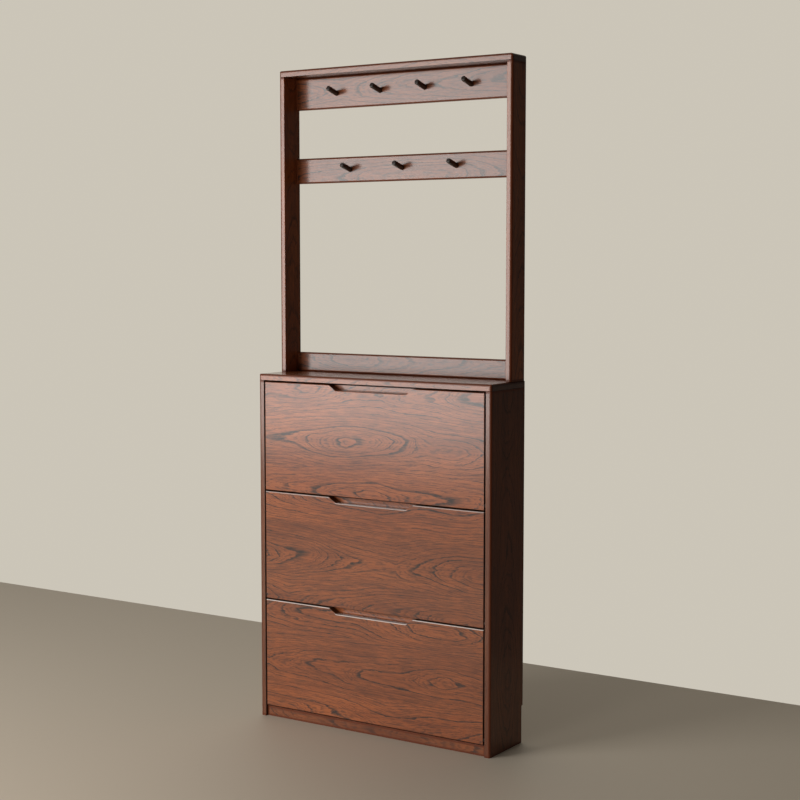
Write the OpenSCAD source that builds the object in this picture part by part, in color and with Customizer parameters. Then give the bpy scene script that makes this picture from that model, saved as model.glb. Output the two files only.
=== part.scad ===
/* [Cabinet body] */
// Overall width across the side panels
body_w = 800; // [640:1:1000]
// Overall depth, front of the flaps to the rear edges
body_d = 192; // [186:1:230]
// Height of the cabinet to the upper face of its top panel
body_h = 1040; // [960:1:1120]
// Thickness of the two side panels
side_t = 18; // [15:0.5:20]
// Thickness of the cabinet top panel
top_t = 19; // [18:0.5:25]
// Rounding on the outer upright edges of the side panels
side_ease = 6; // [2:0.5:7]
// Rounding on the upper edges of the top panel
top_ease = 5.5; // [1:0.5:7]
// Height of the plinth below the lowest flap
plinth_h = 31; // [24:1:34]
// How far the plinth stands back from the front
plinth_recess = 8; // [4:1:12]
// Depth of the skirting cut-out in the lower rear of each side
skirting_d = 11; // [6:1:13]
// Height of the skirting cut-out
skirting_h = 108; // [60:1:140]

/* [Tilting flaps] */
// Thickness of each flap front
flap_t = 18; // [18:0.5:20]
// Gap above the lowest board edge, between flaps and over the plinth
flap_gap = 4; // [3:0.1:5]
// Gap between the top flap and the top panel
top_gap = 4; // [3:0.1:6]
// Gap at each end of a flap
end_gap = 3.5; // [2:0.1:4]
// Rounding on the edges of the flap fronts
flap_ease = 2; // [1.5:0.1:2.5]
// Rounding on the upper front edge of the flaps and the edge of the pull
pull_ease = 3; // [1.5:0.1:4]
// Angle through which a flap tips out
tilt_max = 48; // [30:1:50]
// Height of the pivot above the lower edge of a flap
pivot_rise = 13; // [12:0.5:16]
// Diameter of the steel pivot pins
pivot_d = 8; // [6:0.5:8]

/* [Finger pull] */
// Width of the pull at the upper edge of a flap
pull_w = 294; // [160:1:320]
// Horizontal run of each slanted end of the pull
pull_run = 26; // [16:1:34]
// Depth of the pull below the upper edge
pull_h = 16; // [12:0.5:20]

/* [Hook frame] */
// Overall height of the cabinet and the frame together
total_h = 1942; // [1750:1:2000]
// Depth of the frame
frame_d = 80; // [70:1:84]
// Distance from the rear of the cabinet to the rear of the frame
frame_inset = 4; // [2:1:8]
// Thickness of the frame top board
cap_t = 19; // [16:0.5:22]
// Thickness of the two upright frame boards
stile_t = 18; // [15:0.5:20]
// Thickness of the three cross rails
rail_t = 18; // [17:0.5:20]
// Rounding on the long edges of the cross rails
rail_ease = 6; // [1:0.5:8]
// Height of the cross rail under the frame top
high_rail_h = 95; // [80:1:120]
// Height of the lower row's cross rail
mid_rail_h = 76; // [60:1:90]
// Height of the lower row's cross rail centre above the floor
mid_rail_z = 1646; // [1500:1:1700]
// Height of the cross rail on the cabinet top
foot_rail_h = 58; // [40:1:80]

/* [Coat pegs] */
// Diameter of the pegs
peg_d = 15; // [12:0.5:20]
// Length of peg in front of its rail
peg_reach = 47; // [35:1:60]
// Upward lean of the pegs
peg_lean = 15; // [8:1:20]
// Spacing of the four upper pegs
high_pitch = 155; // [120:1:180]
// Spacing of the three lower pegs
low_pitch = 184; // [150:1:220]

/* [Hidden] */
$fn = 96;
slack = 0.1;
front_y = -body_d / 2;
back_y = body_d / 2;
inner_x = body_w / 2 - side_t;
side_h = body_h - top_t;

rear_rail_t = 15;
back_t = 3;
back_y0 = back_y - rear_rail_t - back_t - slack;
groove_d = 6;
base_t = 16;
plinth_t = 16;
plinth_y = front_y + plinth_recess;
rear_rail_h = 60;
brace_z = 500;
wall_hole_r = 2.75;
wall_hole_x = 250;

flap_z0 = plinth_h + flap_gap;
flap_h = (side_h - top_gap - flap_z0 - 2 * flap_gap) / 3;
flap_w = 2 * (inner_x - end_gap);
pivot_y = front_y + flap_t / 2;
flap_back = flap_t / 2;
flap_top = flap_h - pivot_rise;

bush_r = 6;
bush_len = 16;
pin_into_side = 10;
pin_into_bush = 12;

plate_t = 6;
plate_x = inner_x - 26;
flange_w = 22;
flange_t = 3;
fan_r = flap_top - 9;
fan_back = back_y0 - 4 - pivot_y;
fan_heel = 48;
tray_slope = 12;
tray_t = 9;
tray_z = 6;
rear_board_t = 6;
stop_r = 3;
stop_slot_r = 3.5;
stop_orbit = 120;
stop_angle = 60;
stop_tip = 0.5;
screw_rise = [30, 105, 180, 255];
catch_rise = flap_top - 45;
catch_w = 13;
catch_h = 34;

pull_r = 10;
pull_angle = atan(pull_h / pull_run);
pull_tangent = pull_r * tan(pull_angle / 2);
pull_foot = pull_w / 2 - pull_run;
grip_w = pull_w + 50;
grip_t = 16;
grip_h = 44;
grip_drop = 1.5;
grip_channel = 8;

frame_y1 = back_y - frame_inset;
frame_y0 = frame_y1 - frame_d;
rail_y1 = frame_y1 - 1;
rail_y0 = rail_y1 - rail_t;
stile_in = body_w / 2 - stile_t;
cap_z = total_h - cap_t;
high_rail_z0 = cap_z - high_rail_h;
mid_rail_z0 = mid_rail_z - mid_rail_h / 2;
peg_z_high = cap_z - 51;
peg_root = 14;
peg_round = 3.5;
peg_neck = 3;
peg_waist = 0.5;

dowel_r = 4;
dowel_in_side = 8;
dowel_in_board = 22;
walnut = [0.29, 0.19, 0.15];
ply = [0.62, 0.50, 0.37];
steel = [0.68, 0.69, 0.70];
beech = [0.80, 0.66, 0.46];
dark = [0.12, 0.11, 0.11];

function pivot_z(level) = flap_z0 + level * (flap_h + flap_gap) + pivot_rise;
function all4(r) = [r, r, r, r];

// ---- drawing helpers -------------------------------------------------

// The sliver removed from one corner of a rectangle to round it
module corner_cut(at, way, r) {
  if (r > 0)
    translate(at)
      difference() {
        translate([way.x > 0 ? -1 : -r, way.y > 0 ? -1 : -r])
          square(r + 1);
        translate(way * r)
          circle(r);
      }
}

// Rectangle with its own radius on each corner, anticlockwise from the origin
module soft_rect(w, h, r) {
  difference() {
    square([w, h]);
    corner_cut([0, 0], [1, 1], r[0]);
    corner_cut([w, 0], [-1, 1], r[1]);
    corner_cut([w, h], [-1, -1], r[2]);
    corner_cut([0, h], [1, -1], r[3]);
  }
}

// Board with eased edges: plan, front and end give the corner radii in each view
module board(size, plan = all4(1), front = all4(1), end = all4(1)) {
  intersection() {
    linear_extrude(size.z)
      soft_rect(size.x, size.y, plan);
    translate([0, size.y, 0])
      rotate([90, 0, 0])
        linear_extrude(size.y)
          soft_rect(size.x, size.z, front);
    rotate([90, 0, 90])
      linear_extrude(size.x)
        soft_rect(size.y, size.z, end);
  }
}

// Round bar or hole along X, from x0 to x1
module bar_x(x0, x1, y, z, r) {
  translate([x0, y, z])
    rotate([0, 90, 0])
      cylinder(r = r, h = x1 - x0);
}

// Repeats its children on the left and, mirrored, on the right
module both_sides() {
  children();
  mirror([1, 0, 0])
    children();
}

// ---- joinery positions ------------------------------------------------

// Dowels that join the boards between the right side panel and the left one
module board_dowels(grow = 0) {
  x0 = inner_x - dowel_in_board;
  x1 = inner_x + dowel_in_side;
  base_z = plinth_h - base_t / 2;
  rail_y = back_y - rear_rail_t / 2;
  for (y = [-40, 40])
    bar_x(x0 - grow, x1 + grow, y, base_z, dowel_r + grow);
  bar_x(x0 - grow, x1 + grow, plinth_y + plinth_t / 2, plinth_h / 2, dowel_r + grow);
  for (z = [side_h - 45, side_h - 15, brace_z + 15, brace_z + 45])
    bar_x(x0 - grow, x1 + grow, rail_y, z, dowel_r + grow);
}

// Upright dowels that hold the top panel to the right side panel
module top_dowels(grow = 0) {
  for (y = [-66, -12])
    translate([inner_x + side_t / 2, y, side_h - dowel_in_board - grow])
      cylinder(r = dowel_r + grow, h = dowel_in_board + 12 + 2 * grow);
}

// Long dowels through the top panel, from the right side panel into the right stile
module foot_dowels(grow = 0) {
  for (y = [frame_y0 + 20, frame_y0 + 60])
    translate([body_w / 2 - side_t / 2, y, side_h - 16 - grow])
      cylinder(r = dowel_r + grow, h = 16 + top_t + 26 + 2 * grow);
}

// Dowels between the frame top board and the right stile
module cap_dowels(grow = 0) {
  for (y = [frame_y0 + 20, frame_y0 + 60])
    translate([body_w / 2 - stile_t / 2, y, cap_z - 22 - grow])
      cylinder(r = dowel_r + grow, h = 22 + 10 + 2 * grow);
}

// Dowels between the three cross rails and the right stile
module rail_dowels(grow = 0) {
  heights = [
    high_rail_z0 + 24, high_rail_z0 + high_rail_h - 24,
    mid_rail_z0 + 19, mid_rail_z0 + mid_rail_h - 19,
    body_h + 16, body_h + foot_rail_h - 14
  ];
  for (z = heights)
    bar_x(stile_in - dowel_in_board - grow, stile_in + dowel_in_side + grow,
      rail_y0 + rail_t / 2, z, dowel_r + grow);
}

// Pins that the flaps turn on, right side
module pivot_pin_set(grow = 0) {
  for (level = [0 : 2])
    bar_x(inner_x - end_gap - pin_into_bush - grow, inner_x + pin_into_side + grow,
      pivot_y, pivot_z(level), pivot_d / 2 + grow);
}

// Pins that end the travel of the flaps, right side
module stop_pin_set(grow = 0) {
  for (level = [0 : 2])
    bar_x(plate_x + stop_tip, inner_x + pin_into_side + grow,
      pivot_y + stop_orbit * cos(stop_angle),
      pivot_z(level) + stop_orbit * sin(stop_angle), stop_r + grow);
}

// Two wall-fixing holes through the rear of the cabinet
module wall_holes() {
  for (x = [-wall_hole_x, wall_hole_x])
    translate([x, back_y0 - 1, side_h - rear_rail_h / 2])
      rotate([-90, 0, 0])
        cylinder(r = wall_hole_r, h = body_d);
}

// ---- cabinet ----------------------------------------------------------

// Right side panel, grooved for the back and cut away for a skirting board
module side_panel_right() {
  color(walnut)
    difference() {
      translate([inner_x, front_y, 0])
        board([side_t, body_d, side_h],
          plan = [1.5, side_ease, side_ease, 1], front = all4(0.5), end = all4(0.8));
      translate([inner_x - 1, back_y - skirting_d, -1])
        cube([side_t + 2, skirting_d + 1, skirting_h + 1]);
      translate([inner_x - 1, back_y0 - slack, -1])
        cube([groove_d + 1, back_t + 2 * slack, side_h + 2]);
      board_dowels(slack);
      top_dowels(slack);
      foot_dowels(slack);
      pivot_pin_set(slack);
      stop_pin_set(slack);
    }
}

module side_panel_left() {
  mirror([1, 0, 0])
    side_panel_right();
}

// Top panel, laid over both side panels
module top_panel() {
  color(walnut)
    difference() {
      translate([-body_w / 2, front_y, side_h])
        board([body_w, body_d, top_t],
          plan = all4(side_ease), front = [1, 1, top_ease, top_ease],
          end = [1, 1, top_ease, top_ease]);
      both_sides() {
        top_dowels(slack);
        foot_dowels(slack);
      }
    }
}

// Recessed plinth that meets the floor
module plinth() {
  color(walnut)
    difference() {
      translate([-inner_x, plinth_y, 0])
        board([2 * inner_x, plinth_t, plinth_h]);
      both_sides()
        board_dowels(slack);
    }
}

// Board behind the plinth that closes the cabinet below
module bottom_board() {
  color(walnut)
    difference() {
      translate([-inner_x, plinth_y + plinth_t, plinth_h - base_t])
        board([2 * inner_x, back_y0 - plinth_y - plinth_t, base_t], plan = all4(0.5),
          front = all4(0.5), end = all4(0.5));
      both_sides()
        board_dowels(slack);
    }
}

// Thin back, held in grooves in the side panels
module back_panel() {
  half = inner_x + groove_d - 0.5;
  color(ply)
    difference() {
      translate([-half, back_y0, plinth_h - base_t])
        cube([2 * half, back_t, side_h - plinth_h + base_t]);
      wall_holes();
    }
}

// Rail behind the back panel that screws to the wall
module wall_rail() {
  color(ply)
    difference() {
      translate([-inner_x, back_y - rear_rail_t, side_h - rear_rail_h])
        board([2 * inner_x, rear_rail_t, rear_rail_h]);
      both_sides()
        board_dowels(slack);
      wall_holes();
    }
}

// Cross brace behind the back panel at half height
module rear_brace() {
  color(ply)
    difference() {
      translate([-inner_x, back_y - rear_rail_t, brace_z])
        board([2 * inner_x, rear_rail_t, rear_rail_h]);
      both_sides()
        board_dowels(slack);
    }
}

module pivot_pins() {
  color(steel)
    both_sides()
      pivot_pin_set();
}

module stop_pins() {
  color(steel)
    both_sides()
      stop_pin_set();
}

// Plastic catch bodies fixed inside the side panels behind each flap's upper corners
module catch_housings() {
  color(dark)
    both_sides()
      for (level = [0 : 2])
        translate([inner_x - catch_w, pivot_y + flap_back + 1.5, pivot_z(level) + catch_rise])
          difference() {
            board([catch_w, 15, catch_h]);
            translate([2, -1, 6])
              cube([catch_w - 4, 5, catch_h - 12]);
          }
}

// Magnets set in the catch bodies
module catch_magnets() {
  color(steel)
    both_sides()
      for (level = [0 : 2])
        translate([inner_x - catch_w + 2, pivot_y + flap_back + 1.6,
            pivot_z(level) + catch_rise + 6])
          cube([catch_w - 4, 3.9, catch_h - 12]);
}

module cabinet_dowels() {
  color(beech)
    both_sides() {
      board_dowels();
      top_dowels();
    }
}

// ---- hook frame -------------------------------------------------------

// Right upright of the hook frame
module frame_stile_right() {
  color(walnut)
    difference() {
      translate([stile_in, frame_y0, body_h])
        board([stile_t, frame_d, cap_z - body_h],
          plan = [1.5, side_ease, side_ease, side_ease], front = all4(0.8),
          end = all4(1));
      foot_dowels(slack);
      cap_dowels(slack);
      rail_dowels(slack);
    }
}

module frame_stile_left() {
  mirror([1, 0, 0])
    frame_stile_right();
}

// Top board of the frame, laid over both uprights, with rounded upper corners
module frame_top_board() {
  color(walnut)
    difference() {
      translate([-body_w / 2, frame_y0, cap_z])
        board([body_w, frame_d, cap_t],
          plan = all4(side_ease), front = [0.8, 0.8, 8, 8], end = [1, 1.5, 10, 5.5]);
      both_sides()
        cap_dowels(slack);
    }
}

// Cross rail between the uprights, at height z0
module cross_rail(z0, h) {
  difference() {
    translate([-stile_in, rail_y0, z0])
      board([2 * stile_in, rail_t, h], plan = all4(0.5), front = all4(0.5),
        end = all4(rail_ease));
    both_sides()
      rail_dowels(slack);
  }
}

// One leaning coat peg: slightly waisted where it leaves the rail, its root sunk in it
module coat_peg(x, z, grow = 0) {
  waist_r = peg_d / 2 - peg_waist;
  shoulder = peg_root + peg_neck;
  straight = peg_reach - peg_neck - peg_round;
  translate([x, rail_y0, z])
    rotate([90 - peg_lean, 0, 0])
      translate([0, 0, -peg_root - grow])
        rotate_extrude() {
          square([waist_r + grow, shoulder + 1]);
          translate([0, shoulder])
            square([peg_d / 2, straight]);
          translate([0, shoulder + straight - 1])
            square([peg_d / 2 - peg_round, peg_round + 1]);
          translate([peg_d / 2 - peg_round, shoulder + straight])
            intersection() {
              circle(peg_round);
              square(peg_round);
            }
        }
}

module high_pegs(grow = 0) {
  for (k = [-1.5 : 1 : 1.5])
    coat_peg(k * high_pitch, peg_z_high, grow);
}

module low_pegs(grow = 0) {
  for (k = [-1 : 1])
    coat_peg(k * low_pitch, mid_rail_z, grow);
}

// Rail of the upper peg row
module hook_rail_upper() {
  color(walnut)
    difference() {
      cross_rail(high_rail_z0, high_rail_h);
      high_pegs(slack);
    }
}

// Rail of the lower peg row
module hook_rail_lower() {
  color(walnut)
    difference() {
      cross_rail(mid_rail_z0, mid_rail_h);
      low_pegs(slack);
    }
}

// Rail that stands on the cabinet top
module frame_foot_rail() {
  color(walnut)
    cross_rail(body_h, foot_rail_h);
}

module coat_pegs_upper() {
  color(dark)
    high_pegs();
}

module coat_pegs_lower() {
  color(dark)
    low_pegs();
}

module frame_dowels() {
  color(beech)
    both_sides() {
      foot_dowels();
      cap_dowels();
      rail_dowels();
    }
}

// ---- tilting flaps, drawn about their pivot line ------------------------

module at_level(level) {
  translate([0, pivot_y, pivot_z(level)])
    children();
}

// Kite that holds one rounded corner of the pull, about the centre of its arc
module pull_kite() {
  r = pull_r + 1;
  polygon([
    [0, 0], [0, -r], [r * tan(pull_angle / 2), -r],
    [r * sin(pull_angle), -r * cos(pull_angle)]
  ]);
}

// What lies between a corner of the pull and its arc
module pull_corner() {
  difference() {
    pull_kite();
    circle(pull_r);
  }
}

// Outline of the finger pull, its upper edge on the line z = 0
module pull_outline() {
  half = pull_w / 2;
  difference() {
    union() {
      polygon([
        [-pull_foot, -pull_h], [pull_foot, -pull_h], [half, 0], [half, 1],
        [-half, 1], [-half, 0]
      ]);
      both_sides()
        translate([half + pull_tangent, -pull_r])
          rotate(180)
            pull_corner();
    }
    both_sides()
      translate([pull_foot - pull_tangent, pull_r - pull_h])
        pull_corner();
  }
}

// Rounding along the pull's lower edge, on the face of the flap
module pull_round_over() {
  bottom = pull_foot - pull_tangent;
  translate([-bottom, -flap_t / 2, flap_top - pull_h])
    rotate([90, 0, 90])
      linear_extrude(2 * bottom)
        corner_cut([0, 0], [1, -1], pull_ease);
  for (s = [-1, 1])
    translate([s * bottom, -flap_t / 2, flap_top - pull_h + pull_r])
      rotate([-90, 0, 0])
        rotate_extrude()
          corner_cut([pull_r, 0], [1, 1], pull_ease);
}

// Screws through the plate flanges into the right half of a flap front
module plate_screws(grow = 0) {
  for (z = screw_rise)
    translate([plate_x - flange_w / 2, flap_back, z])
      rotate([-90, 0, 0]) {
        translate([0, 0, -11 - grow])
          cylinder(r = 1.9 + grow, h = 11 + flange_t + 2 * grow);
        translate([0, 0, flange_t])
          cylinder(r = 3.6, h = 1.8);
      }
}

// Screws through the right fan plate into the tray and the rear board
module shelf_screws(grow = 0) {
  tray_mid = tray_z + tray_t / 2;
  rear_y = fan_back - 4 - rear_board_t / 2;
  places = [
    [40, tray_mid + 31 * tan(tray_slope)], [118, tray_mid + 109 * tan(tray_slope)],
    [rear_y, 90], [rear_y, 200]
  ];
  for (p = places) {
    bar_x(plate_x - 14 - grow, plate_x + plate_t + grow, p.x, p.y, 1.3 + grow);
    bar_x(plate_x + plate_t, plate_x + plate_t + 1.6, p.x, p.y, 3);
  }
}

// Bearing bush let into the right end of a flap
module end_bush_body(grow = 0) {
  bar_x(flap_w / 2 - bush_len - grow, flap_w / 2 + grow, 0, 0, bush_r + grow);
}

// Flap front with its finger pull
module flap_front() {
  color(walnut)
    difference() {
      translate([-flap_w / 2, -flap_t / 2, -pivot_rise])
        board([flap_w, flap_t, flap_h], plan = all4(flap_ease), front = all4(1.5),
          end = [flap_ease, flap_ease, flap_ease, pull_ease]);
      translate([0, flap_t, flap_top])
        rotate([90, 0, 0])
          linear_extrude(2 * flap_t)
            pull_outline();
      pull_round_over();
      both_sides() {
        plate_screws(slack);
        end_bush_body(slack);
      }
    }
}

// Strip behind the pull, hollowed so that fingertips hook behind the front
module flap_grip() {
  reach = pull_w / 2 - 2;
  color(walnut)
    translate([0, flap_back, flap_top - grip_drop - grip_h])
      difference() {
        translate([-grip_w / 2, 0, 0])
          board([grip_w, grip_t, grip_h], end = [0.5, 3, 1, 0.5]);
        translate([-reach, -1, 14])
          cube([2 * reach, grip_channel + 1, grip_h]);
      }
}

// Outline of a fan plate seen from the side
module fan_outline() {
  half_tilt = stop_angle - tilt_max / 2;
  sweep = stop_orbit + 40;
  difference() {
    intersection() {
      circle(fan_r, $fn = 240);
      polygon([
        [flap_back, -6], [fan_back - 90, -6], [fan_back, fan_heel],
        [fan_back, fan_r], [flap_back, fan_r]
      ]);
    }
    intersection() {
      difference() {
        circle(stop_orbit + stop_slot_r, $fn = 180);
        circle(stop_orbit - stop_slot_r, $fn = 180);
      }
      polygon([
        [0, 0],
        sweep * [cos(stop_angle - tilt_max), sin(stop_angle - tilt_max)],
        1.2 * sweep * [cos(half_tilt), sin(half_tilt)],
        sweep * [cos(stop_angle), sin(stop_angle)]
      ]);
    }
    for (a = [stop_angle - tilt_max, stop_angle])
      translate(stop_orbit * [cos(a), sin(a)])
        circle(stop_slot_r);
  }
}

// Right fan plate: slotted web with a flange on the back of the front
module fan_right() {
  color(dark)
    difference() {
      union() {
        translate([plate_x, 0, 0])
          rotate([90, 0, 90])
            linear_extrude(plate_t)
              fan_outline();
        translate([plate_x - flange_w, flap_back, 14])
          cube([flange_w + 1, flange_t, screw_rise[3]]);
      }
      plate_screws(slack);
      shelf_screws(slack);
    }
}

module fan_left() {
  mirror([1, 0, 0])
    fan_right();
}

// Sloping floor of the shoe compartment
module flap_tray() {
  run = fan_back - 10 - flap_back;
  rise = run * tan(tray_slope);
  color(ply)
    difference() {
      translate([-plate_x, flap_back, tray_z])
        rotate([90, 0, 90])
          linear_extrude(2 * plate_x)
            polygon([[0, 0], [run, rise], [run, rise + tray_t], [0, tray_t]]);
      both_sides() {
        shelf_screws(slack);
        translate([plate_x - flange_w - 0.5, flap_back - 1, 0])
          cube([flange_w + 1, flange_t + 2.6, 40]);
      }
    }
}

// Upright board that closes the rear of the shoe compartment
module flap_rear_board() {
  foot = tray_z + (fan_back - 10 - flap_back) * tan(tray_slope) + tray_t + 1;
  color(ply)
    difference() {
      translate([-plate_x, fan_back - 4 - rear_board_t, foot])
        board([2 * plate_x, rear_board_t, 246 - foot]);
      both_sides()
        shelf_screws(slack);
    }
}

// Nylon bushes that run on the pivot pins
module flap_bushes() {
  color([0.85, 0.84, 0.80])
    both_sides()
      difference() {
        end_bush_body();
        bar_x(flap_w / 2 - pin_into_bush - 1.5, flap_w / 2 + 1, 0, 0, pivot_d / 2 + 0.05);
      }
}

// Steel plates that meet the magnets
module flap_catch_plates() {
  color(steel)
    both_sides()
      translate([flap_w / 2 - 10, flap_back, catch_rise + 2])
        cube([9, 1, catch_h - 4]);
}

module flap_screws() {
  color(steel)
    both_sides() {
      plate_screws();
      shelf_screws();
    }
}

// ---- one top-level solid per named part ----------------------------------

side_panel_left();
side_panel_right();
top_panel();
plinth();
bottom_board();
back_panel();
wall_rail();
rear_brace();
pivot_pins();
stop_pins();
catch_housings();
catch_magnets();
cabinet_dowels();
frame_stile_left();
frame_stile_right();
frame_top_board();
hook_rail_upper();
hook_rail_lower();
frame_foot_rail();
coat_pegs_upper();
coat_pegs_lower();
frame_dowels();

at_level(0) flap_front();  // flap_bottom_front
at_level(0) flap_grip();  // flap_bottom_grip
at_level(0) fan_left();  // flap_bottom_fan_left
at_level(0) fan_right();  // flap_bottom_fan_right
at_level(0) flap_tray();  // flap_bottom_tray
at_level(0) flap_rear_board();  // flap_bottom_rear_board
at_level(0) flap_bushes();  // flap_bottom_bushes
at_level(0) flap_catch_plates();  // flap_bottom_catch_plates
at_level(0) flap_screws();  // flap_bottom_screws

at_level(1) flap_front();  // flap_middle_front
at_level(1) flap_grip();  // flap_middle_grip
at_level(1) fan_left();  // flap_middle_fan_left
at_level(1) fan_right();  // flap_middle_fan_right
at_level(1) flap_tray();  // flap_middle_tray
at_level(1) flap_rear_board();  // flap_middle_rear_board
at_level(1) flap_bushes();  // flap_middle_bushes
at_level(1) flap_catch_plates();  // flap_middle_catch_plates
at_level(1) flap_screws();  // flap_middle_screws

at_level(2) flap_front();  // flap_top_front
at_level(2) flap_grip();  // flap_top_grip
at_level(2) fan_left();  // flap_top_fan_left
at_level(2) fan_right();  // flap_top_fan_right
at_level(2) flap_tray();  // flap_top_tray
at_level(2) flap_rear_board();  // flap_top_rear_board
at_level(2) flap_bushes();  // flap_top_bushes
at_level(2) flap_catch_plates();  // flap_top_catch_plates
at_level(2) flap_screws();  // flap_top_screws
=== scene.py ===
import math

import bmesh
import bpy
from mathutils import Euler, Matrix, Vector


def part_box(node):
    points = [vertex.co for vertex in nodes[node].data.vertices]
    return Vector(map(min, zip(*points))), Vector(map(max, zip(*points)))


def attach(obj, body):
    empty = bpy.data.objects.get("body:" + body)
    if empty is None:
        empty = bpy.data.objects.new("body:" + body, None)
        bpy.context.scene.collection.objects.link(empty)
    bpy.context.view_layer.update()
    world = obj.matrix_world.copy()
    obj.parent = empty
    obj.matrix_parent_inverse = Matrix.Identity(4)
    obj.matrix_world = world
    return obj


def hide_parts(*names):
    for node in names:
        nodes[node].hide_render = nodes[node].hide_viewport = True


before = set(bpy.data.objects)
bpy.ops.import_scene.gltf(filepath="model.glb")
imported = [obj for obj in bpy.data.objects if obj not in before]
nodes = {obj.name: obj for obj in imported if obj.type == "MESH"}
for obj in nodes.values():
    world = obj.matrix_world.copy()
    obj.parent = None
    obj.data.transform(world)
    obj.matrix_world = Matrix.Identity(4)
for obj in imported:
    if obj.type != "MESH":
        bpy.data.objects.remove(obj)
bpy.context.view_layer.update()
LEVELS = ("bottom", "middle", "top")


# ---------------------------------------------------------------- node helpers
class Graph:
    """Builds shader nodes from short calls; every value is a socket or a number."""

    def __init__(self, tree):
        self.tree = tree

    def node(self, kind, **settings):
        made = self.tree.nodes.new(kind)
        for name, value in settings.items():
            setattr(made, name, value)
        return made

    def put(self, socket, value):
        if isinstance(value, bpy.types.NodeSocket):
            self.tree.links.new(value, socket)
        else:
            socket.default_value = value

    def math(self, operation, *values, clamp=False):
        made = self.node("ShaderNodeMath", operation=operation, use_clamp=clamp)
        for socket, value in zip(made.inputs, values):
            self.put(socket, value)
        return made.outputs[0]

    def add(self, a, b):
        return self.math("ADD", a, b)

    def sub(self, a, b):
        return self.math("SUBTRACT", a, b)

    def mul(self, a, b):
        return self.math("MULTIPLY", a, b)

    def vector(self, operation, *values):
        made = self.node("ShaderNodeVectorMath", operation=operation)
        for socket, value in zip(made.inputs, values):
            self.put(socket, value)
        return made.outputs[0]

    def combine(self, x, y, z):
        made = self.node("ShaderNodeCombineXYZ")
        for socket, value in zip(made.inputs, (x, y, z)):
            self.put(socket, value)
        return made.outputs[0]

    def separate(self, vector):
        made = self.node("ShaderNodeSeparateXYZ")
        self.put(made.inputs[0], vector)
        return made.outputs

    def noise(self, vector, detail=2.0, rough=0.5, scale=1.0):
        made = self.node("ShaderNodeTexNoise", noise_dimensions="3D")
        self.put(made.inputs["Vector"], vector)
        self.put(made.inputs["Scale"], scale)
        self.put(made.inputs["Detail"], detail)
        self.put(made.inputs["Roughness"], rough)
        return made.outputs["Fac"]

    def line_noise(self, value, scale=1.0, detail=1.0):
        made = self.node("ShaderNodeTexNoise", noise_dimensions="1D")
        self.put(made.inputs["W"], value)
        self.put(made.inputs["Scale"], scale)
        self.put(made.inputs["Detail"], detail)
        return made.outputs["Fac"]

    def chance(self, value):
        """A random number from 0 to 1, fixed for each value."""
        made = self.node("ShaderNodeTexWhiteNoise", noise_dimensions="1D")
        self.put(made.inputs["W"], value)
        return made.outputs["Value"]

    def cells(self, vector, scale=1.0):
        made = self.node("ShaderNodeTexVoronoi", feature="F1")
        self.put(made.inputs["Vector"], vector)
        self.put(made.inputs["Scale"], scale)
        return made.outputs["Distance"]

    def ramp(self, value, low, high, to_low=0.0, to_high=1.0):
        """Smooth step of value from low..high to to_low..to_high."""
        made = self.node("ShaderNodeMapRange", interpolation_type="SMOOTHSTEP")
        for socket, number in zip(made.inputs, (value, low, high, to_low, to_high)):
            self.put(socket, number)
        return made.outputs[0]

    def mix(self, factor, a, b):
        made = self.node("ShaderNodeMix", data_type="RGBA")
        self.put(made.inputs[0], factor)
        self.put(made.inputs[6], a)
        self.put(made.inputs[7], b)
        return made.outputs[2]

    def stretched(self, vector, x, y, z):
        return self.vector("MULTIPLY", vector, (x, y, z))

    def sway(self, value, size):
        """value, from 0 to 1, as a swing of that full size about nought."""
        return self.mul(self.sub(value, 0.5), size)

    def bump(self, height, distance, strength=0.4):
        made = self.node("ShaderNodeBump")
        self.put(made.inputs["Strength"], strength)
        self.put(made.inputs["Distance"], distance)
        self.put(made.inputs["Height"], height)
        return made.outputs[0]


def rgb(red, green, blue):
    return (red, green, blue, 1.0)


def new_material(name):
    made = bpy.data.materials.new(name)
    made.use_nodes = True
    made.node_tree.nodes.clear()
    graph = Graph(made.node_tree)
    shader = graph.node("ShaderNodeBsdfPrincipled")
    output = graph.node("ShaderNodeOutputMaterial")
    graph.put(output.inputs["Surface"], shader.outputs[0])
    return made, graph, shader


def finish_with(graph, shader, colour, rough, normal=None, **numbers):
    graph.put(shader.inputs["Base Color"], colour)
    graph.put(shader.inputs["Roughness"], rough)
    if normal is not None:
        graph.put(shader.inputs["Normal"], normal)
    for name, value in numbers.items():
        graph.put(shader.inputs[name.replace("_", " ")], value)


def object_point(graph):
    return graph.node("ShaderNodeTexCoord").outputs["Object"]


def slope(graph, axis):
    """How squarely the surface faces along an axis, from -1 to 1."""
    normal = graph.node("ShaderNodeTexCoord").outputs["Normal"]
    return graph.separate(normal)["XYZ".index(axis)]


def facing(graph, axis):
    """How squarely the surface faces along an axis, either way, from 0 to 1."""
    return graph.math("ABSOLUTE", slope(graph, axis))


def edge_band(graph, point, low, high, width=0.0035):
    """1 along the edges of a board with the box low..high, 0 on its faces."""
    near = []
    for value, lo, hi in zip(graph.separate(point), low, high):
        near.append(graph.math("MINIMUM", graph.sub(value, lo), graph.sub(hi, value)))
    first = graph.math("MINIMUM", near[0], near[1])
    second = graph.math("MAXIMUM", near[0], near[1])
    middle = graph.math("MAXIMUM", first, graph.math("MINIMUM", second, near[2]))
    return graph.ramp(middle, width * 0.55, width, 1.0, 0.0)
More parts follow.
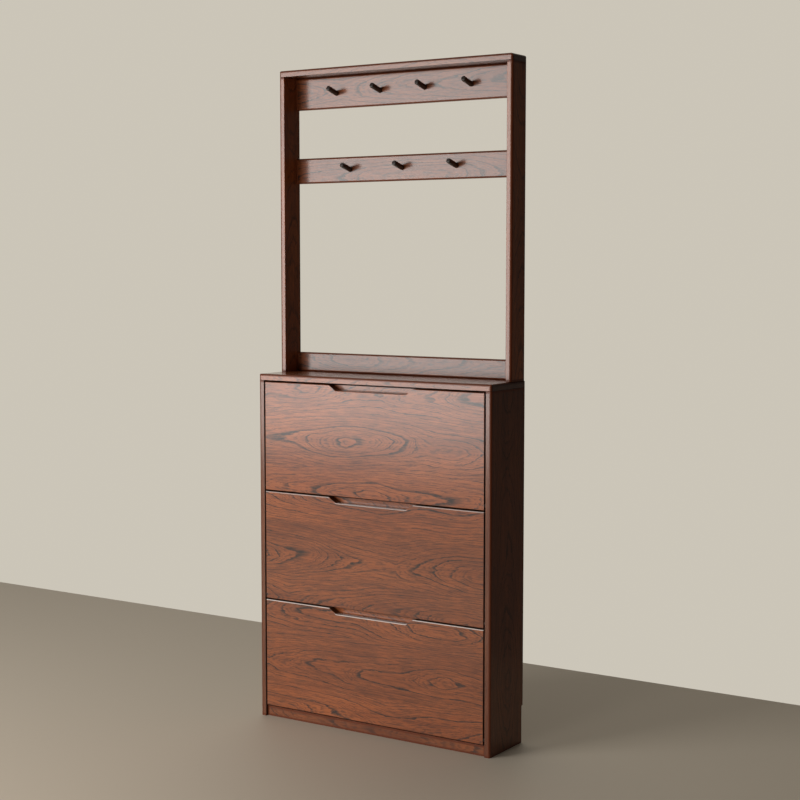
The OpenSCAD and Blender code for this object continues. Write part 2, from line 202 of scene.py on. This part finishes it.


# ------------------------------------------------------------------------- oak
# stained late wood, light and deep; grain lines; painted shade along the rounded edges; a pale
# highlight painted on the flaps' upper edges
OAK_LIGHT = rgb(0.455, 0.126, 0.034)
OAK_MID = rgb(0.265, 0.067, 0.019)
OAK_LINE = rgb(0.026, 0.016, 0.013)
# painted shade for the rounded edges, which lose the lacquer's sheen
OAK_RIM_SHADE = rgb(0.140, 0.034, 0.012)
# a painted highlight for the flaps' rounded upper edges
OAK_EDGE_HIGHLIGHT = rgb(0.740, 0.660, 0.610)
# strips counted below the middle one, so that their numbers stay above nought
SPARE_STRIPS = 10.0


def oak(name, along, low, high, heart, offset, pitch=0.0052, tone=1.0, stave=1.0, taper=0.07,
        swirl=1.0, rim=0.008, contrast=1.0, inner="", shade=0.8, lip=0.0):
    """Open-grain oak under a brown stain and satin lacquer, glued up from staves.

    along     axis along which the grain runs
    low, high corners of the board's box
    heart     distance of the pith behind the face
    offset    place of the board along the log
    pitch     width of a year's growth
    tone      brightness of the stain; lowered on some boards as painted shade
    stave     width of the glued strips; the usual 1 m leaves every board in one piece
    taper     how fast the pith falls away from the face along the board
    swirl     how far the rings wander
    rim       width of the painted shade along the rounded edges
    contrast  how dark the grain lines are
    inner     side that faces into the furniture, such as "-X": its edges get no painted rim shade, and shade is painted on that face
    shade     how strongly shade is painted on the inner face
    lip  strength of the pale highlight painted along the rounded upper edges of a flap front
    """
    made, graph, shader = new_material(name)
    point = object_point(graph)
    centre = [(a + b) / 2 for a, b in zip(low, high)]
    local = graph.vector("SUBTRACT", point, tuple(centre))
    x, y, z = graph.separate(local)
    if along == "Z":
        run, deep, wide = z, x, y
    else:
        run, deep, wide = x, y, z

    # each glued strip is cut from its own place in the log
    from_edge = graph.add(wide, (0.5 + SPARE_STRIPS) * stave)
    strip = graph.math("FLOOR", graph.math("DIVIDE", from_edge, stave))
    middle = graph.mul(graph.sub(strip, SPARE_STRIPS), stave)
    first = graph.chance(graph.add(strip, offset))
    second = graph.chance(graph.add(strip, offset + 31.7))
    shift = graph.mul(first, 9.0)
    run = graph.add(graph.add(run, offset), shift)
    wide_here = graph.sub(wide, middle)
    log = graph.combine(run, deep, wide)

    # slow waves of the trunk, then the smaller wriggle of each ring
    slow = graph.noise(graph.stretched(log, 3.0, 2.0, 4.0), detail=1.0)
    moved = graph.vector("ADD", graph.stretched(log, 2.6, 2.0, 5.0), (7.3, 1.1, 4.2))
    slow2 = graph.noise(moved, detail=1.0)
    quick = graph.noise(graph.stretched(log, 6.0, 8.0, 28.0), detail=3.0, rough=0.5)
    fine = graph.noise(graph.stretched(log, 34.0, 60.0, 170.0), detail=3.0, rough=0.6)

    fall = graph.math("PINGPONG", graph.add(run, graph.mul(second, 0.4)), 0.62)
    depth = graph.add(graph.add(deep, heart), graph.mul(fall, taper))
    depth = graph.add(depth, graph.sway(slow, 0.040 * swirl))
    side = graph.add(wide_here, graph.sway(second, 0.05))
    side = graph.add(side, graph.sway(slow2, 0.045 * swirl))
    radius = graph.math("SQRT", graph.add(graph.mul(depth, depth), graph.mul(side, side)))
    radius = graph.add(radius, graph.sway(quick, 0.010 * swirl))
    radius = graph.add(radius, graph.sway(fine, 0.0030))
    uneven = graph.mul(graph.line_noise(radius, 60.0), 2.0)
    rings = graph.add(graph.math("DIVIDE", radius, pitch), uneven)
    phase = graph.math("FRACT", rings)
    year = graph.math("FLOOR", rings)
    strength = graph.ramp(graph.chance(graph.add(year, shift)), 0.0, 0.6, 0.35, 1.0)
    early = graph.mul(graph.ramp(phase, 0.0, 0.06), graph.ramp(phase, 0.10, 0.34, 1.0, 0.0))
    broken = graph.noise(graph.stretched(log, 26.0, 90.0, 150.0), detail=3.0, rough=0.65)
    broken = graph.ramp(broken, 0.36, 0.60)
    early = graph.mul(graph.mul(early, strength), graph.add(graph.mul(broken, 0.4), 0.6))
    # between the dark rings run fainter, finer ones
    faint = graph.math("FRACT", graph.mul(rings, 3.0))
    faint = graph.mul(graph.ramp(faint, 0.0, 0.15), graph.ramp(faint, 0.25, 0.70, 1.0, 0.0))
    faint = graph.mul(faint, graph.ramp(broken, 0.3, 0.9, 0.06, 0.50))

    # open pores: short dark dashes, crowded into the early wood
    pores = graph.noise(graph.stretched(log, 95.0, 1500.0, 1500.0), detail=2.0, rough=0.6)
    crowd = graph.add(graph.mul(early, 0.16), 0.31)
    pore = graph.sub(1.0, graph.ramp(pores, graph.sub(crowd, 0.05), graph.add(crowd, 0.05)))
    fibre = graph.noise(graph.stretched(log, 16.0, 320.0, 320.0), detail=3.0, rough=0.65)
    streak = graph.noise(graph.stretched(log, 5.0, 60.0, 90.0), detail=3.0, rough=0.6)
    cloud = graph.noise(graph.stretched(log, 2.6, 6.0, 9.0), detail=2.0)
    band_low, band_high = list(low), list(high)
    if inner:
        number = "XYZ".index(inner[1])
        plane = low[number] if inner[0] == "-" else high[number]
        if inner[0] == "-":
            band_low[number] -= 1.0
        else:
            band_high[number] += 1.0
    rim_wear_and_shade = edge_band(graph, point, band_low, band_high, rim)
    end = graph.ramp(facing(graph, along), 0.75, 0.95)

    warm_cloud = graph.mul(graph.ramp(cloud, 0.3, 0.7), 0.45)
    warm_streak = graph.mul(graph.ramp(streak, 0.3, 0.7), 0.55)
    colour = graph.mix(graph.add(warm_cloud, warm_streak), OAK_MID, OAK_LIGHT)
    colour = graph.mix(graph.mul(graph.ramp(fibre, 0.47, 0.62), 0.36 * contrast), colour, OAK_LINE)
    colour = graph.mix(graph.mul(faint, contrast), colour, OAK_LINE)
    dark = graph.math("MAXIMUM", graph.mul(early, min(0.96, contrast)), graph.mul(pore, 0.55))
    colour = graph.mix(dark, colour, OAK_LINE)
    strip_tone = graph.mul(graph.add(graph.mul(first, 0.16), 0.92), tone)
    colour = graph.vector("MULTIPLY", colour, graph.combine(strip_tone, strip_tone, strip_tone))
    # painted shade along the rounded edges, standing in for the sheen they lose
    colour = graph.mix(graph.mul(rim_wear_and_shade, 0.92), colour, OAK_RIM_SHADE)
    colour = graph.mix(graph.mul(end, 0.6), colour, OAK_LINE)
    # painted shade on the face turned into the furniture
    if inner:
        off_plane = graph.math("ABSOLUTE", graph.sub(graph.separate(point)[number], plane))
        near_plane = graph.ramp(off_plane, 0.0004, 0.0016, 1.0, 0.0)
        colour = graph.mix(graph.mul(near_plane, shade), colour, OAK_LINE)
    if along == "X" and stave < 1.0:
        # a flap front: a pale highlight painted along its rounded upper edges
        up = slope(graph, "Z")
        upper_edge = graph.mul(graph.ramp(up, 0.15, 0.40), graph.ramp(up, 0.90, 0.99, 1.0, 0.0))
        upper_edge = graph.mul(upper_edge, graph.ramp(facing(graph, "X"), 0.2, 0.5, 1.0, 0.0))
        colour = graph.mix(graph.mul(upper_edge, lip), colour, OAK_EDGE_HIGHLIGHT)
        # the narrow sides, which look into the gaps, get painted shade so that the gaps look dark
        top_side = graph.ramp(up, 0.95, 0.99)
        under_side = graph.ramp(up, -0.7, -0.3, 1.0, 0.0)
        gap_shade = graph.math("MAXIMUM", top_side, under_side)
        gap_shade = graph.math("MAXIMUM", gap_shade, graph.ramp(facing(graph, "X"), 0.4, 0.8))
        colour = graph.mix(graph.mul(gap_shade, 0.9), colour, OAK_LINE)

    # the lacquer is rubbed thin along the edges and lies duller on the sides of upright boards
    coat = graph.sub(1.0, graph.mul(rim_wear_and_shade, 0.8))
    if along == "Z":
        coat = graph.mul(coat, graph.ramp(facing(graph, "X"), 0.6, 0.95, 1.0, 0.45))

    rough = graph.add(graph.mul(fibre, 0.10), 0.38)
    rough = graph.add(rough, graph.mul(dark, 0.15))
    height = graph.add(graph.mul(dark, -1.0), graph.mul(fibre, 0.25))
    finish_with(
        graph, shader, colour, rough, graph.bump(height, 0.0003, 0.3),
        Specular_IOR_Level=0.22, Coat_Weight=coat, Coat_Roughness=0.2, Coat_IOR=1.5,
    )
    return made


def dress(node_name, material, smooth=32):
    """Gives a CAD piece its material; edges sharper than smooth degrees stay crisp."""
    piece = nodes[node_name]
    piece.data.materials.clear()
    piece.data.materials.append(material)
    piece.data.shade_smooth()
    piece.data.set_sharp_from_angle(angle=math.radians(smooth))


def oak_board(node_name, along, heart, offset, **more):
    """An oak material fitted to one board's own box."""
    low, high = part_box(node_name)
    dress(node_name, oak("oak_" + node_name, along, low, high, heart, offset, **more))


flap_look = {"stave": 0.165, "rim": 0.002}
# the lower two flap fronts take a lower tone than the top one as painted shade, and a painted
# highlight on their upper edges
oak_board("flap_top_front", "X", 0.045, 0.3, taper=0.075, pitch=0.0066, tone=0.95, **flap_look)
oak_board("flap_middle_front", "X", 0.040, 12.1, taper=0.085, pitch=0.0058, tone=0.83,
          lip=0.50, **flap_look)
oak_board("flap_bottom_front", "X", 0.050, 24.4, taper=0.060, pitch=0.0060, tone=0.84,
          lip=0.85, **flap_look)
oak_board("top_panel", "X", 0.09, 36.2, swirl=0.6, contrast=0.7, inner="-Z")
oak_board("plinth", "X", 0.08, 47.7, swirl=0.6, tone=0.62, contrast=0.8)
oak_board("bottom_board", "X", 0.08, 59.7, swirl=0.6, tone=0.8)
# the side panels' low tone is painted shade for their unlit outer faces
side_look = {"swirl": 0.6, "tone": 0.5, "contrast": 0.45}
oak_board("side_panel_left", "Z", 0.09, 61.0, inner="+X", **side_look)
oak_board("side_panel_right", "Z", 0.09, 73.0, inner="-X", **side_look)
stile_look = {"swirl": 0.5, "tone": 0.85, "contrast": 0.5, "shade": 0.1}
oak_board("frame_stile_left", "Z", 0.09, 85.0, inner="+X", **stile_look)
oak_board("frame_stile_right", "Z", 0.09, 97.0, inner="-X", **stile_look)
oak_board("frame_top_board", "X", 0.09, 109.0, swirl=0.6, contrast=0.6, tone=0.75, inner="-Z")
rail_look = {"taper": 0.05, "rim": 0.006, "pitch": 0.0050, "contrast": 1.15, "tone": 0.66}
oak_board("hook_rail_upper", "X", 0.06, 121.0, swirl=0.45, **rail_look)
oak_board("hook_rail_lower", "X", 0.07, 133.0, swirl=0.45, **rail_look)
oak_board("frame_foot_rail", "X", 0.08, 145.0, swirl=0.4, **rail_look)
for place, level in enumerate(LEVELS):
    oak_board(f"flap_{level}_grip", "X", 0.08, 157.0 + 6 * place, swirl=0.6)


# --------------------------------------------------------------- other finishes
def peg_wood():
    """Turned pegs, stained almost black: long fine grain along the lean of the peg."""
    made, graph, shader = new_material("peg_wood")
    turn = graph.node("ShaderNodeMapping", vector_type="POINT")
    graph.put(turn.inputs["Vector"], object_point(graph))
    graph.put(turn.inputs["Rotation"], (math.radians(15), 0.0, 0.0))
    point = turn.outputs[0]
    grain = graph.noise(graph.stretched(point, 700.0, 22.0, 700.0), detail=3.0, rough=0.65)
    rings = graph.noise(graph.stretched(point, 160.0, 6.0, 160.0), detail=2.0)
    pores = graph.noise(graph.stretched(point, 1800.0, 90.0, 1800.0), detail=1.0)
    pores = graph.ramp(pores, 0.30, 0.40, 1.0, 0.0)
    deep_stain, light_stain = rgb(0.013, 0.008, 0.006), rgb(0.034, 0.019, 0.013)
    ring_stain = rgb(0.006, 0.004, 0.0035)
    colour = graph.mix(graph.ramp(grain, 0.35, 0.7), deep_stain, light_stain)
    colour = graph.mix(graph.mul(graph.ramp(rings, 0.5, 0.7), 0.5), colour, ring_stain)
    rough = graph.add(graph.mul(grain, 0.16), 0.30)
    height = graph.sub(graph.mul(grain, 0.5), pores)
    finish_with(
        graph, shader, colour, rough, graph.bump(height, 0.0002, 0.4),
        Specular_IOR_Level=0.5, Coat_Weight=0.3, Coat_Roughness=0.22,
    )
    return made


PLY_PAIR = 0.003  # thickness of two plies of the plywood, in metres


def stained_ply(name, low, high, thin, tone=1.0):
    """Brown-stained plywood: rotary figure on the faces, stacked plies on the edges.

    thin is the axis through the board's thickness."""
    made, graph, shader = new_material(name)
    point = object_point(graph)
    x, y, z = graph.separate(point)
    through = {"Y": y, "Z": z}[thin]
    wavy = graph.noise(graph.stretched(point, 2.2, 9.0, 9.0), detail=2.0)
    across = graph.mul(graph.add(y, z), 0.6)
    figure = graph.math("FRACT", graph.mul(graph.add(wavy, across), 9.0))
    figure = graph.mul(graph.ramp(figure, 0.0, 0.3), graph.ramp(figure, 0.4, 1.0, 1.0, 0.0))
    fibre = graph.noise(graph.stretched(point, 12.0, 360.0, 360.0), detail=3.0, rough=0.65)
    fleck = graph.noise(graph.stretched(point, 130.0, 1500.0, 1500.0))
    fleck = graph.ramp(fleck, 0.30, 0.40, 1.0, 0.0)
    plies = graph.math("FRACT", graph.math("DIVIDE", through, PLY_PAIR))
    plies = graph.ramp(graph.math("ABSOLUTE", graph.sub(plies, 0.5)), 0.16, 0.30)
    on_edge = graph.ramp(facing(graph, thin), 0.35, 0.6, 1.0, 0.0)
    dark_veneer, light_veneer = rgb(0.165, 0.074, 0.037), rgb(0.245, 0.120, 0.063)
    face = graph.mix(graph.ramp(fibre, 0.35, 0.7), dark_veneer, light_veneer)
    face = graph.mix(graph.mul(figure, 0.35), face, rgb(0.115, 0.048, 0.024))
    face = graph.mix(graph.mul(fleck, 0.4), face, rgb(0.060, 0.028, 0.016))
    edge = graph.mix(plies, rgb(0.30, 0.16, 0.085), rgb(0.14, 0.065, 0.032))
    colour = graph.mix(on_edge, face, edge)
    rim_wear_and_shade = edge_band(graph, point, low, high, 0.0022)
    colour = graph.mix(graph.mul(rim_wear_and_shade, 0.35), colour, rgb(0.34, 0.19, 0.105))
    colour = graph.vector("MULTIPLY", colour, (tone, tone, tone))
    height = graph.sub(graph.mul(fibre, 0.5), graph.mul(fleck, 0.7))
    finish_with(
        graph, shader, colour, graph.add(graph.mul(fibre, 0.15), 0.45),
        graph.bump(height, 0.0002, 0.35), Specular_IOR_Level=0.35,
    )
    return made


def beech():
    """Bare beech dowel: straight grain with short darker flecks."""
    made, graph, shader = new_material("beech_dowel")
    point = object_point(graph)
    fibre = graph.noise(graph.stretched(point, 260.0, 260.0, 40.0), detail=3.0, rough=0.6)
    fleck = graph.ramp(graph.noise(graph.stretched(point, 700.0, 700.0, 180.0)), 0.60, 0.70)
    colour = graph.mix(graph.ramp(fibre, 0.3, 0.7), rgb(0.50, 0.30, 0.15), rgb(0.66, 0.44, 0.25))
    colour = graph.mix(graph.mul(fleck, 0.5), colour, rgb(0.34, 0.17, 0.08))
    rough = graph.add(graph.mul(fibre, 0.2), 0.5)
    finish_with(graph, shader, colour, rough, graph.bump(fibre, 0.0002), Specular_IOR_Level=0.3)
    return made


def black_moulding():
    """Matt black plastic with a fine spark-eroded texture, rubbed a little greyer in places."""
    made, graph, shader = new_material("dark_plastic")
    point = object_point(graph)
    grain = graph.noise(point, detail=2.0, rough=0.6, scale=2600.0)
    pits = graph.cells(point, 1500.0)
    wear = graph.noise(point, detail=4.0, rough=0.6, scale=18.0)
    black, rubbed = rgb(0.014, 0.014, 0.015), rgb(0.032, 0.031, 0.030)
    colour = graph.mix(graph.ramp(wear, 0.4, 0.75), black, rubbed)
    grained = graph.mul(graph.ramp(grain, 0.4, 0.7), 0.4)
    colour = graph.mix(grained, colour, rgb(0.022, 0.022, 0.023))
    rough = graph.add(graph.mul(wear, 0.16), 0.46)
    height = graph.add(graph.mul(grain, 0.6), graph.mul(pits, 0.5))
    normal = graph.bump(height, 0.0001, 0.5)
    finish_with(graph, shader, colour, rough, normal, Specular_IOR_Level=0.4)
    return made


def nylon():
    """Natural nylon bush: milky, a little uneven, faint turning marks."""
    made, graph, shader = new_material("nylon")
    point = object_point(graph)
    cloud = graph.noise(point, detail=3.0, scale=120.0)
    turned = graph.noise(graph.stretched(point, 3000.0, 60.0, 60.0), detail=1.0)
    colour = graph.mix(cloud, rgb(0.62, 0.60, 0.53), rgb(0.76, 0.75, 0.70))
    rough = graph.add(graph.mul(turned, 0.15), 0.32)
    finish_with(
        graph, shader, colour, rough, graph.bump(turned, 0.00005, 0.4),
        Subsurface_Weight=0.15, Specular_IOR_Level=0.45,
    )
    return made


def zinc(name, light, deep, marks):
    """Plated steel: spangled zinc with fine draw marks, duller where it is handled."""
    made, graph, shader = new_material(name)
    point = object_point(graph)
    spangle = graph.cells(point, marks)
    scratch = graph.noise(graph.stretched(point, 2400.0, 300.0, 300.0), detail=2.0, rough=0.6)
    dull = graph.noise(point, detail=3.0, rough=0.6, scale=90.0)
    colour = graph.mix(graph.ramp(spangle, 0.1, 0.6), light, deep)
    colour = graph.mix(graph.mul(graph.ramp(dull, 0.5, 0.75), 0.5), colour, deep)
    rough = graph.add(graph.add(graph.mul(dull, 0.22), graph.mul(scratch, 0.12)), 0.17)
    finish_with(graph, shader, colour, rough, graph.bump(scratch, 0.00004, 0.4), Metallic=1.0)
    return made


pegs = peg_wood()
for name in ("coat_pegs_upper", "coat_pegs_lower"):
    dress(name, pegs)
dowels = beech()
for name in ("cabinet_dowels", "frame_dowels"):
    dress(name, dowels)
for name, tone in (("back_panel", 0.75), ("wall_rail", 0.9), ("rear_brace", 0.9)):
    dress(name, stained_ply("ply_" + name, *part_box(name), "Y", tone))
moulding = black_moulding()
dress("catch_housings", moulding)
pin_steel = zinc("pin_steel", rgb(0.62, 0.62, 0.61), rgb(0.44, 0.44, 0.45), 420.0)
magnet_steel = zinc("magnet_steel", rgb(0.46, 0.46, 0.47), rgb(0.34, 0.34, 0.35), 700.0)
for name in ("pivot_pins", "stop_pins"):
    dress(name, pin_steel)
dress("catch_magnets", magnet_steel)
bush_nylon = nylon()
for level in LEVELS:
    tray, rear = f"flap_{level}_tray", f"flap_{level}_rear_board"
    dress(tray, stained_ply(f"ply_tray_{level}", *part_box(tray), "Z"))
    dress(rear, stained_ply(f"ply_rear_{level}", *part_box(rear), "Y"))
    dress(f"flap_{level}_fan_left", moulding)
    dress(f"flap_{level}_fan_right", moulding)
    dress(f"flap_{level}_bushes", bush_nylon)
    dress(f"flap_{level}_catch_plates", magnet_steel)


# ------------------------------------------------------------- cross-head screws
MM = 0.001
# the flaps' pivots, in millimetres: their line's depth, its height in the lowest flap, the pitch
PIVOT_Y = -87.0
PIVOT_RISE = 48.0
FLAP_PITCH = 986.0 / 3
# screws through the fan plates' flanges into the fronts, measured from the pivot
FLANGE_X = 345.0
FLANGE_BACK = 12.0
FLANGE_RISES = (30.0, 105.0, 180.0, 255.0)
# screws through the fan plates into the tray and the rear board: (back, up) from the pivot
WEB_X = 362.0
SHELF_PLACES = ((40.0, 17.09), (118.0, 33.67), (153.9, 90.0), (153.9, 200.0))
# head radius, head height, shank radius and shank length
FLANGE_SCREW = (3.6, 1.8, 1.9, 14.0)
SHELF_SCREW = (3.0, 1.6, 1.3, 20.0)
# how far each screw's cross is turned on from the one before, in radians
CROSS_TURN = 0.7
POINTS_AROUND = 40


def screw_profile(head_r, head_h, shank_r, shank_l):
    """Half outline from the tip to the middle of the head: (radius, height) pairs."""
    outline = [(0.02, -shank_l), (shank_r * 0.72, -shank_l + 2.2)]
    turns = int(shank_l - 3.5)
    for turn in range(turns):
        up = -shank_l + 2.4 + turn
        outline += [(shank_r * 0.72, up), (shank_r, up + 0.5)]
    outline += [(shank_r * 0.9, -0.4), (shank_r, 0.0)]
    outline += [(head_r * 0.97, 0.0), (head_r, head_h * 0.22)]
    for step in range(1, 9):
        bend = math.radians(90 * step / 9)
        outline.append((head_r * math.cos(bend), head_h * (0.22 + 0.78 * math.sin(bend))))
    outline.append((0.02, head_h))
    return outline


def add_screw(mesh, place, head_r, head_h, shank_r, shank_l, turn):
    """Lathes one screw along its own +Z, presses the cross into its head and puts it in place."""
    rings = []
    for radius, height in screw_profile(head_r, head_h, shank_r, shank_l):
        ring = []
        for k in range(POINTS_AROUND):
            angle = 2 * math.pi * k / POINTS_AROUND
            x, y = radius * math.cos(angle), radius * math.sin(angle)
            down = 0.0
            if height > 0.3 * head_h:
                arm = min(abs(x), abs(y))
                reach = max(abs(x), abs(y))
                if arm < 0.5 and reach < head_r * 0.58:
                    down = 0.75 * head_h * (1.0 - reach / (head_r * 0.8))
            spun = Vector((x, y, height - down))
            spun.rotate(Euler((0.0, 0.0, turn)))
            ring.append(mesh.verts.new(place @ (spun * MM)))
        rings.append(ring)
    for low, high in zip(rings, rings[1:]):
        for k in range(POINTS_AROUND):
            after = (k + 1) % POINTS_AROUND
            mesh.faces.new((low[k], low[after], high[after], high[k]))
    mesh.faces.new(rings[-1])
    mesh.faces.new(list(reversed(rings[0])))


for place_number, level in enumerate(LEVELS):
    mesh = bmesh.new()
    pivot_z = PIVOT_RISE + place_number * FLAP_PITCH
    count = 0
    for side in (-1, 1):
        for rise in FLANGE_RISES:
            at = Vector((side * FLANGE_X, PIVOT_Y + FLANGE_BACK, pivot_z + rise)) * MM
            place = Matrix.Translation(at) @ Matrix.Rotation(math.radians(-90), 4, "X")
            add_screw(mesh, place, *FLANGE_SCREW, CROSS_TURN * count)
            count += 1
        for out, up in SHELF_PLACES:
            at = Vector((side * WEB_X, PIVOT_Y + out, pivot_z + up)) * MM
            place = Matrix.Translation(at) @ Matrix.Rotation(math.radians(90 * side), 4, "Y")
            add_screw(mesh, place, *SHELF_SCREW, CROSS_TURN * count)
            count += 1
    screw_mesh = bpy.data.meshes.new(f"flap_{level}_cross_screws")
    mesh.to_mesh(screw_mesh)
    mesh.free()
    screws = bpy.data.objects.new(f"flap_{level}_cross_screws", screw_mesh)
    bpy.context.scene.collection.objects.link(screws)
    screw_mesh.materials.append(pin_steel)
    screw_mesh.shade_smooth()
    screw_mesh.set_sharp_from_angle(angle=math.radians(30))
    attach(screws, f"flap_{level}")
    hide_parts(f"flap_{level}_screws")


# ------------------------------------------------------------ camera and light
scene = bpy.context.scene
scene.view_settings.view_transform = "Standard"
scene.view_settings.look = "None"

CAMERA_AT = Vector((2.5856, -3.8904, 1.3729))
CAMERA_YAW = math.radians(33.195)
CAMERA_DOWN = math.radians(4.896)
CAMERA_LENS = 36.0 * 1613.2 / 800.0

camera = bpy.data.objects.new("camera", bpy.data.cameras.new("camera"))
camera.location = CAMERA_AT
camera.rotation_euler = Euler((math.radians(90) - CAMERA_DOWN, 0.0, CAMERA_YAW))
camera.data.lens = CAMERA_LENS
camera.data.sensor_width = 36.0
camera.data.clip_end = 100.0
scene.collection.objects.link(camera)
scene.camera = camera

world = bpy.data.worlds.new("studio")
scene.world = world
world.use_nodes = True
world.node_tree.nodes.clear()
sky = Graph(world.node_tree)
# a lit wall behind at the left, a dimmer room in front of it, and darkness at the right
direction = sky.node("ShaderNodeTexCoord").outputs["Generated"]
across, forward, upward = sky.separate(direction)
WALL_SIDE = rgb(0.600, 0.560, 0.480)
FRONT_SIDE = rgb(0.190, 0.183, 0.170)
DARK_SIDE = rgb(0.018, 0.017, 0.015)
DARK_WALL = rgb(0.060, 0.057, 0.050)
left = sky.mix(sky.ramp(forward, -0.2, 0.5), FRONT_SIDE, WALL_SIDE)
right = sky.mix(sky.ramp(forward, -0.2, 0.5), DARK_SIDE, DARK_WALL)
turn = sky.sub(across, sky.ramp(forward, -0.5, 0.3, 0.30, 0.0))
colour = sky.mix(sky.ramp(turn, -0.25, 0.25), left, right)
background = sky.node("ShaderNodeBackground")
sky.put(background.inputs[0], colour)
sky.put(background.inputs[1], 1.0)
sky.put(sky.node("ShaderNodeOutputWorld").inputs[0], background.outputs[0])


def area_light(name, low, high, depth, radiance, tint):
    """Upright soft box facing +Y, its corners at low and high (X and Z), at the given depth."""
    wide, tall = high[0] - low[0], high[1] - low[1]
    lamp = bpy.data.lights.new(name, "AREA")
    lamp.shape = "RECTANGLE"
    lamp.size, lamp.size_y = wide, tall
    lamp.energy = radiance * math.pi * wide * tall
    lamp.color = tint
    made = bpy.data.objects.new(name, lamp)
    made.location = ((low[0] + high[0]) / 2, depth, (low[1] + high[1]) / 2)
    made.rotation_euler = Vector((0.0, 1.0, 0.0)).to_track_quat("-Z", "Z").to_euler()
    scene.collection.objects.link(made)


area_light("window", (-3.2, 0.45), (-0.9, 2.7), -3.0, 5.8, (1.0, 0.985, 0.965))
area_light("fill", (-0.05, 0.10), (0.38, 0.90), -2.6, 12.0, (1.0, 0.96, 0.91))

floor_mesh = bpy.data.meshes.new("floor")
floor_corners = [(-4, -6, 0), (4, -6, 0), (4, 0.9, 0), (-4, 0.9, 0)]
floor_mesh.from_pydata(floor_corners, [], [(0, 1, 2, 3)])
floor = bpy.data.objects.new("floor", floor_mesh)
scene.collection.objects.link(floor)
floor_paint, graph, shader = new_material("floor_paint")
graph.put(shader.inputs["Base Color"], rgb(0.60, 0.52, 0.42))
graph.put(shader.inputs["Roughness"], 0.6)
floor_mesh.materials.append(floor_paint)
